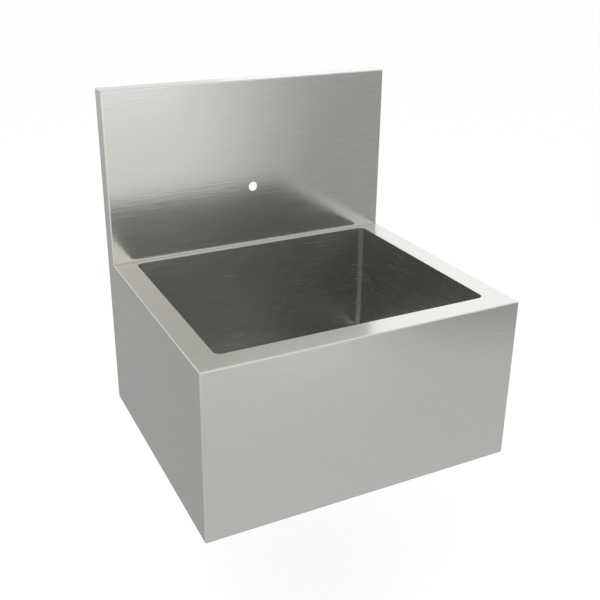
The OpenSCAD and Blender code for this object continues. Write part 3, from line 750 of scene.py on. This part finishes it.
def bowl_growth(details, rows):
    """A sheet of points: rows go down and inwards, and steps go round by quarters. In each
    quarter a straight side turns into a corner and then into the next side. Spread fans a
    corner's points out as they near the round seat."""
    growth = Growth("bowl_rule", {
        "Rows": rows, "Steps": 24, "Middle": (BOWL_LOW.y + BOWL_HIGH.y) / 2,
        "Corner": details.cove, "Half width": BOWL_HIGH.x - details.flange,
        "Half depth": (BOWL_HIGH.y - BOWL_LOW.y) / 2 - details.flange,
        "Fall": details.fall, "Crease": details.crease, "Spread": 0.1})
    size, of = growth.size, growth.math
    index = growth.node("InputIndex")
    column = of("FLOOR", (index + 0.5) / size["Rows"])
    row = index - column * size["Rows"]
    quadrant = of("FLOOR", (column + 0.5) / size["Steps"])
    way = (column - quadrant * size["Steps"]) / size["Steps"]
    way = way + of("MODULO", quadrant, 2.0) * (1.0 - way * 2.0)
    heading = (quadrant + 0.5) * (math.pi / 2)
    turn = growth.clamp(way * 2.0 - 0.5) * (math.pi / 2)
    core_x, core_y = size["Half width"] - size["Corner"], size["Half depth"] - size["Corner"]
    centre_x = core_x * growth.least((1.0 - way) * 4.0, 1.0)
    centre_y = core_y * growth.least(way * 4.0, 1.0)
    across, along = of("COSINE", turn), of("SINE", turn)
    radius, seat, height = growth.axes(growth.at_host(growth.node("InputPosition"), row))
    share, fall, _ = growth.axes(growth.at_host(growth.attribute("share"), row))
    bearing = of("ARCTAN2", centre_y + along * size["Spread"], centre_x + across * size["Spread"])
    x = centre_x + across * radius
    y = centre_y + along * radius
    x = x + (seat * of("COSINE", bearing) - x) * share
    y = y + (seat * of("SINE", bearing) - y) * share
    reach = growth.least(of("SMOOTH_MAX", x / core_x, y / core_y, size["Crease"]), 1.0)
    z = height - size["Fall"] * fall * (1.0 - reach)
    place = growth.vector(of("SIGN", of("COSINE", heading)) * x,
                          of("SIGN", of("SINE", heading)) * y + size["Middle"], z)
    grid = growth.node("MeshGrid", values={"Vertices X": size["Steps"] * 4.0 + 1.0,
                                           "Vertices Y": size["Rows"]})
    bent = growth.node("SetPosition", values={"Geometry": grid, "Position": place})
    merged = growth.node("MergeByDistance", values={"Geometry": bent, "Distance": MERGE})
    growth.close(merged, "bowl_steel")
    return growth


class MakeBowl(bpy.types.Operator):
    """Builds the coved bowl with its creased floor and pressed seat"""
    bl_idname = "scrub_sink.bowl"
    bl_label = "Bowl"

    def execute(self, context):
        details = context.scene.sink_details
        rows = bowl_rows(details)
        host = host_mesh("bowl_rows", [row[:3] for row in rows],
                         share=[(*row[3:], 0) for row in rows])
        mesh = grown("bowl_sheet", bowl_growth(details, len(rows)), host, details.sheet)
        put_piece("bowl_pressed", smoothed("bowl_smooth", mesh), "bowl_steel",
                  replaces=["bowl"])
        return {"FINISHED"}


def spot_places(details):
    """Places of the spot welds, along the stiffeners' brims and around the tap hole's plate."""
    places = []
    for node in ("splash_stiffener_left", "splash_stiffener_right"):
        low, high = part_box(node)
        count = round((high.z - low.z) / details.spot_pitch)
        for x in (low.x + details.brim / 2, high.x - details.brim / 2):
            for i in range(count):
                z = low.z + (high.z - low.z) * (i + 0.5) / count
                places.append((x, low.y + details.shell, z))
    low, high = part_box("tap_hole_plate")
    inset = details.spot * 1.5
    for across, up in ((0, 0), (0.5, 0), (1, 0), (1, 0.5), (1, 1), (0.5, 1), (0, 1), (0, 0.5)):
        places.append((low.x + inset + (high.x - low.x - 2 * inset) * across, high.y,
                       low.z + inset + (high.z - low.z - 2 * inset) * up))
    return places


def spot_growth(details):
    """Low round nuggets with the dimple that the electrode leaves, in a thin tinted skirt."""
    growth = Growth("spot_rule", {"Radius": details.spot, "Rise": details.spot_rise, "Seed": 7})
    ball = growth.node("MeshUVSphere", values={"Segments": 20, "Rings": 20, "Radius": 1.0})
    x, y, z = growth.axes(growth.node("InputPosition"))
    heat = growth.clamp(1.0 - growth.math("SQRT", x * x + y * y))
    # The nugget rises at 0.42 to 0.52 of the way to the middle, and dips from 0.60 on
    inside = growth.clamp(heat * 10.0 - 4.2)
    dimple = 1.0 - 0.65 * growth.clamp(heat * 4.0 - 2.4)
    place = growth.vector(x * growth.size["Radius"], y * growth.size["Radius"],
                          z * (0.07 + inside * 0.6 * dimple) * growth.size["Rise"])
    nugget = growth.node("SetPosition", values={"Geometry": growth.heated(ball, heat),
                                                "Position": place})
    scale = growth.node("FunctionNodeRandomValue", {"data_type": "FLOAT"},
                        {2: 0.88, 3: 1.08, "Seed": growth.size["Seed"]}, output=1)
    growth.close(growth.on_host(nugget, scale), "weld_steel")
    return growth


def flange_runs(details):
    """The two ends of each short bead around the bowl's flange, under the deck."""
    runs = []
    lap = 0.0003
    z = BOWL_HIGH.z - lap
    step = details.stitch + details.stitch_gap
    for axis in (0, 1):
        other = 1 - axis
        side = BOWL_HIGH[axis] - BOWL_LOW[axis] - 2 * (details.cove + details.flange)
        count = int((side + details.stitch_gap) / step)
        centre = (BOWL_HIGH[axis] + BOWL_LOW[axis]) / 2
        for i in range(count):
            start = centre + (i - (count - 1) / 2) * step - details.stitch / 2
            for edge in (BOWL_LOW[other], BOWL_HIGH[other]):
                ends = [[0, 0, z], [0, 0, z]]
                ends[0][axis], ends[1][axis] = start, start + details.stitch
                ends[0][other] = ends[1][other] = edge
                runs.append(ends)
    return runs


def frame_runs(details):
    """The two ends of each bead on the crossbar, the earth tab and the weld nuts."""
    runs = []
    low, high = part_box("rear_crossbar")
    flange_x, wall_y = SHELL_HIGH.x - details.wall_flange, -details.shell
    inset, foot = 0.002, 0.016
    for side in (-1, 1):
        runs.append([(side * flange_x, wall_y, low.z + inset),
                     (side * flange_x, wall_y, high.z - inset)])
        runs.append([(side * (high.x - foot), low.y, low.z), (side * high.x, low.y, low.z)])
    low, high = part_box("earth_tab")
    bend = 0.003
    for y in (low.y, high.y):
        runs.append([(low.x + bend, y, low.z), (high.x, y, low.z)])
    low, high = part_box("weld_nuts")
    nut_radius, nuts, half = (high.z - low.z) / math.sqrt(3), 4, 0.0028
    for i in range(nuts):
        x = low.x + nut_radius + (high.x - low.x - 2 * nut_radius) * i / (nuts - 1)
        for z in (low.z, high.z):
            runs.append([(x - half, high.y, z), (x + half, high.y, z)])
    return runs


def bead_growth(details):
    """A rippled bead along each run, drawn in at its ends."""
    growth = Growth("bead_rule", {"Radius": details.bead, "Ripple": details.ripple})
    size, of = growth.size, growth.math
    runs = growth.node("MeshToCurve", values={0: growth.host})
    fine = growth.node("ResampleCurve", {"mode": "LENGTH"},
                       {"Curve": runs, "Length": size["Ripple"] / 4.0})
    place = growth.node("SplineParameter", output="Length")
    whole = growth.node("SplineLength", output="Length")
    end = growth.least(place, whole - place) / size["Radius"]
    taper = growth.least(0.3 + end * 0.55, 1.0)
    wave = abs(of("SINE", place * math.pi / size["Ripple"]))
    bead = growth.swept(fine, size["Radius"], 8, taper * (0.92 + wave * 0.16))
    bare_metal = 0.52
    growth.close(growth.heated(bead, bare_metal), "weld_steel")
    return growth


class MakeWelds(bpy.types.Operator):
    """Builds the spot welds and weld beads of the hidden frame"""
    bl_idname = "scrub_sink.welds"
    bl_label = "Welds"

    def execute(self, context):
        details = context.scene.sink_details
        places = spot_places(details)
        host = host_mesh("spot_places", places, facing=[(0, 1, 0)] * len(places))
        put_piece("spot_welds", grown("spots", spot_growth(details), host), "mill_steel",
                  finish="weld_steel")
        runs = flange_runs(details) + frame_runs(details)
        host = host_mesh("bead_runs", [end for run in runs for end in run],
                         [(2 * i, 2 * i + 1) for i in range(len(runs))])
        put_piece("weld_beads", grown("beads", bead_growth(details), host), "mill_steel",
                  finish="weld_steel")
        return {"FINISHED"}


def thread_growth(slot, radius, run, pitch):
    """A thread's ridge: a spiral with a sharp crest."""
    growth = Growth("thread_rule", {"Radius": radius, "Run": run, "Pitch": pitch,
                                    "Ridge": pitch * 0.22})
    size = growth.size
    spiral = growth.node("CurveSpiral", values={
        "Resolution": 48, "Rotations": size["Run"] / size["Pitch"],
        "Start Radius": size["Radius"], "End Radius": size["Radius"], "Height": size["Run"]})
    end = growth.node("SplineParameter", output="Factor")
    taper = growth.least(growth.least(end, 1.0 - end) * 16.0 + 0.05, 1.0)
    growth.close(growth.on_host(growth.swept(spiral, size["Ridge"], 4, taper)), slot)
    return growth


class MakeThreads(bpy.types.Operator):
    """Builds the threads that show on the waste and the earth bolt"""
    bl_idname = "scrub_sink.threads"
    bl_label = "Threads"

    def execute(self, context):
        lock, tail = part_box("locknut")[0].z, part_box("tail_nut")[1].z
        bolt_start, nut_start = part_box("earth_bolt")[0].x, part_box("earth_nut")[0].x
        bolt = middle("earth_bolt")
        right = (1, 0, 0)
        showing, gap = 0.0155, 0.0002  # What shows of the cup, and the space at a thread's end
        threads = (  # name, slot, start, direction, radius, run and pitch
            ("cup_thread", "waste_steel", (0, WASTE_Y, lock - showing), UP,
             0.039, 0.0150, 0.0020),
            ("outlet_thread", "waste_steel", (0, WASTE_Y, tail + gap), UP,
             0.0239, 0.0070, 0.0018),
            ("earth_thread", "brass", (bolt_start + gap, bolt.y, bolt.z), right,
             0.003, nut_start - bolt_start - 0.0003, 0.0010),
        )
        for name, slot, place, facing, radius, run, pitch in threads:
            host = host_mesh(name + "_place", [place], facing=[facing])
            mesh = grown(name + "_ridge", thread_growth(slot, radius, run, pitch), host)
            put_piece(name, mesh, slot)
        return {"FINISHED"}


class MakeHidden(bpy.types.Operator):
    """Finishes the hidden frame, its fixings, the sound pads and the waste"""
    bl_idname = "scrub_sink.hidden"
    bl_label = "Hidden pieces"

    def execute(self, context):
        dress(node for node in frame["nodes"] if node not in REBUILT)
        return {"FINISHED"}


# Studio

def panel(name, centre, width, height, facing):
    """A flat rectangle whose front faces a direction."""
    turn = Vector(facing).to_track_quat("Z", "Y").to_matrix().to_4x4()
    mesh = bpy.data.meshes.new(name)
    half_w, half_h = width / 2, height / 2
    mesh.from_pydata([(-half_w, -half_h, 0), (half_w, -half_h, 0), (half_w, half_h, 0),
                      (-half_w, half_h, 0)], [], [(0, 1, 2, 3)])
    mesh.transform(Matrix.Translation(centre) @ turn)
    made = bpy.data.objects.new(name, mesh)
    bpy.context.scene.collection.objects.link(made)
    made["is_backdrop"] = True
    return made


def grey_card(name, tones, axis, ends, centre, width, height, facing):
    """A card that shows only in reflections, as a photographer sets beside bright metal.
    It runs from one tone to another between two places along an axis."""
    card = panel(name, centre, width, height, facing)
    card.visible_camera = False
    card.visible_diffuse = False
    card.visible_shadow = False
    card.visible_transmission = False
    shade = Shade(name)
    run = shade.ramp(shade.axes(shade.place())[axis], *ends)
    glow = shade.node("Emission", values={"Color": WHITE,
                                          "Strength": tones[0] + run * (tones[1] - tones[0])})
    card.data.materials.append(shade.close(glow))


def soft_box(name, brightness, centre, width, height, target, mirrored):
    """An area lamp that adds that many times white to what stands behind it."""
    watts_to_white = 4
    lamp = bpy.data.lights.new(name, "AREA")
    lamp.shape = "RECTANGLE"
    lamp.size = width
    lamp.size_y = height
    lamp.energy = brightness * width * height * watts_to_white
    made = bpy.data.objects.new(name, lamp)
    made.location = centre
    made.rotation_euler = (Vector(target) - Vector(centre)).to_track_quat("-Z", "Y").to_euler()
    made.visible_camera = False
    made.visible_glossy = mirrored
    bpy.context.scene.collection.objects.link(made)


def seen_rays(shade):
    """1 for rays of the camera, of mirrors and of glass, and 0 for matt light."""
    seen = shade.node("LightPath", output="Is Camera Ray")
    mirror, glass = seen.beside("Is Glossy Ray"), seen.beside("Is Transmission Ray")
    return shade.least(seen + mirror + glass, 1.0)


def make_world(studio):
    """White wherever it is seen or mirrored, and dimmer as the room's light on matt pieces."""
    shade = Shade("studio", "worlds")
    bpy.context.scene.world = shade.owner
    strength = studio.ambient + seen_rays(shade) * (1.0 - studio.ambient)
    light = shade.node("Background", values={"Color": WHITE, "Strength": strength})
    shade.node("OutputWorld", values={"Surface": light})


def make_floor(studio):
    """A wide matt floor that looks white like the world, and takes shadows."""
    floor = panel("studio_floor", (0.0, 0.0, studio.floor_z), 40.0, 40.0, UP)
    shade = Shade("studio_floor")
    matt = shade.node("BsdfDiffuse", values={"Color": rgba([studio.floor_tone] * 3)})
    glow = shade.node("Emission", values={
        "Color": WHITE, "Strength": seen_rays(shade) * studio.floor_glow})
    floor.data.materials.append(
        shade.close(shade.node("AddShader", values={0: matt, 1: glow})))


def make_camera():
    """The camera of the photograph, found from the sink's corners in it."""
    azimuth, elevation = math.radians(-25.424), math.radians(21.706)
    target, distance = Vector((-0.05145, -0.28, 0.23472)), 1.80446
    film_width, picture_width, focal_length = 36.0, 600.0, 832.08  # mm, pixels and pixels
    back = Vector((math.sin(azimuth) * math.cos(elevation),
                   -math.cos(azimuth) * math.cos(elevation), math.sin(elevation)))
    camera = bpy.data.cameras.new("camera")
    made = bpy.data.objects.new("camera", camera)
    made.location = target + back * distance
    made.rotation_euler = (-back).to_track_quat("-Z", "Y").to_euler()
    camera.sensor_width = film_width
    camera.lens = film_width * focal_length / picture_width
    # The photograph is a crop, so its middle is off the lens's axis
    camera.shift_x = 0.0401
    camera.shift_y = -0.0584
    bpy.context.scene.collection.objects.link(made)
    bpy.context.scene.camera = made


class MakeStudio(bpy.types.Operator):
    """Sets up the floor, reflector cards, soft boxes, room light and camera"""
    bl_idname = "scrub_sink.studio"
    bl_label = "Studio"

    def execute(self, context):
        studio = context.scene.sink_studio
        make_world(studio)
        make_floor(studio)
        low = studio.floor_z + 0.01  # The low cards lie just above the floor
        front, left = studio.front_card, studio.left_card
        cards = (  # name, two tones, their axis and ends, centre, width, height and direction
            ("card_front", (front * 1.05, front * 0.93), 1, (-2.6, -1.6),
             (0.6, -2.0, low), 5.0, 2.2, UP),
            ("card_right", (1.0, studio.right_card), 0, (0.55, 1.35),
             (1.9, -1.9, 0.05), 2.8, 1.5, (-0.3, 1, 0)),
            ("card_left", (left, left), 1, (0.0, 1.0),
             (-1.6, 0.8, low), 3.0, 2.6, UP),
            ("card_back", (left, studio.back_card), 2, (-0.5, 0.45),
             (-1.9, 2.1, -0.1), 2.9, 1.2, (0, -1, 0)),
            ("card_top", (1.0, studio.top_card), 2, (1.6, 2.3),
             (1.2, -2.5, 1.95), 3.6, 1.3, (0, 1, 0)),
        )
        for card in cards:
            grey_card(*card)
        boxes = (  # name, brightness, centre, width, height, target, and whether mirrors show it
            ("box_back", studio.back_box, (1.9, 1.9, 1.75), 2.6, 1.8, (0, -0.3, 0.2), True),
            ("box_front", studio.front_box, (0.6, -2.6, 0.80), 4.4, 1.1, (0.2, 0, 0.80), True),
            ("box_key", studio.key_box, (-1.5, -1.5, 2.6), 2.0, 2.0, (0, -0.3, 0), False),
        )
        for box in boxes:
            soft_box(*box)
        make_camera()
        context.scene.view_settings.view_transform = "Standard"
        return {"FINISHED"}


OPERATORS = (MakeSheets, MakeBowl, MakeWelds, MakeThreads, MakeHidden, MakeStudio)


class SinkPanel(bpy.types.Panel):
    """Lists the pieces of the sink and the studio"""
    bl_idname = "VIEW3D_PT_scrub_sink"
    bl_label = "Scrub sink"
    bl_space_type = "VIEW_3D"
    bl_region_type = "UI"
    bl_category = "Scrub sink"

    def draw(self, context):
        for name, group in GROUPS.items():
            box = self.layout.box()
            for key in group.__annotations__:
                box.prop(getattr(context.scene, name), key)
        for operator in OPERATORS:
            self.layout.operator(operator.bl_idname)


def register():
    """Adds the sizes, operators and panel."""
    for name, group in GROUPS.items():
        bpy.utils.register_class(group)
        setattr(bpy.types.Scene, name, PointerProperty(type=group))
    for made in (*OPERATORS, SinkPanel):
        bpy.utils.register_class(made)


def unregister():
    """Takes away what register adds."""
    for made in (SinkPanel, *reversed(OPERATORS)):
        bpy.utils.unregister_class(made)
    for name, group in GROUPS.items():
        delattr(bpy.types.Scene, name)
        bpy.utils.unregister_class(group)


def main():
    """Builds every piece and the studio."""
    register()
    for operator in OPERATORS:
        group, name = operator.bl_idname.split(".")
        getattr(getattr(bpy.ops, group), name)()
    {"cad": CAD_BOX, "visual": corners(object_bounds())}


if __name__ == "__main__":
    main()
